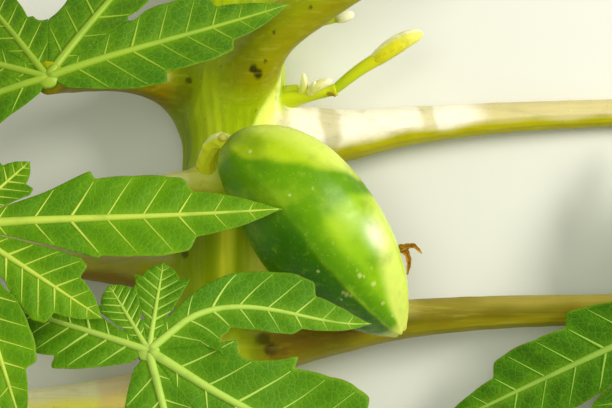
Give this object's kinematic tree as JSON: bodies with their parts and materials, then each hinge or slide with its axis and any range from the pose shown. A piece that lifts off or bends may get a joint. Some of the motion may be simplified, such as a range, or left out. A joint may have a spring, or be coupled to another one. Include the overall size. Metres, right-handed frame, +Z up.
{
  "type": "cut papaya stem with fruit",
  "caption": "Cut length of papaya stem lying on its back, with a green fruit, flower buds, leaf stalks and lobed leaves.",
  "frame": {"origin": "under the middle of the whole cutting, on the surface that it lies on", "axes": "+Y along the stem towards its upper end, +X to the right of the stem with the fruit's tip, +Z up from the surface"},
  "size_m": [0.5336, 0.2922, 0.1597],
  "materials": {
    "stem_skin": "smooth green stem skin, satin",
    "stalk_skin": "olive to cream leaf stalk skin, satin",
    "fruit_skin": "waxy green fruit skin, semi-gloss",
    "bud_skin": "pale flower bud, satin",
    "withered": "dry brown petal, matt",
    "leaf_blade": "green leaf with pale ribs, soft sheen"
  },
  "bodies": {
    "root": {"stem": "stem_skin", "fruit": "fruit_skin", "fruit_stalk": "stem_skin", "long_bud": "bud_skin", "bud_spray": "bud_skin", "upper_bud": "bud_skin", "withered_flower": "withered", "petiole_upper_right": "stalk_skin", "petiole_upper_left": "stalk_skin", "petiole_right": "stalk_skin", "petiole_left": "stalk_skin", "petiole_lower_left": "stalk_skin", "petiole_lower_right": "stalk_skin", "petiole_bottom_left": "stalk_skin", "petiole_front": "stalk_skin", "leaf_upper_left": "leaf_blade", "leaf_middle_left": "leaf_blade", "leaf_lower_left": "leaf_blade", "leaf_right": "leaf_blade"}
  },
  "joints": []
}
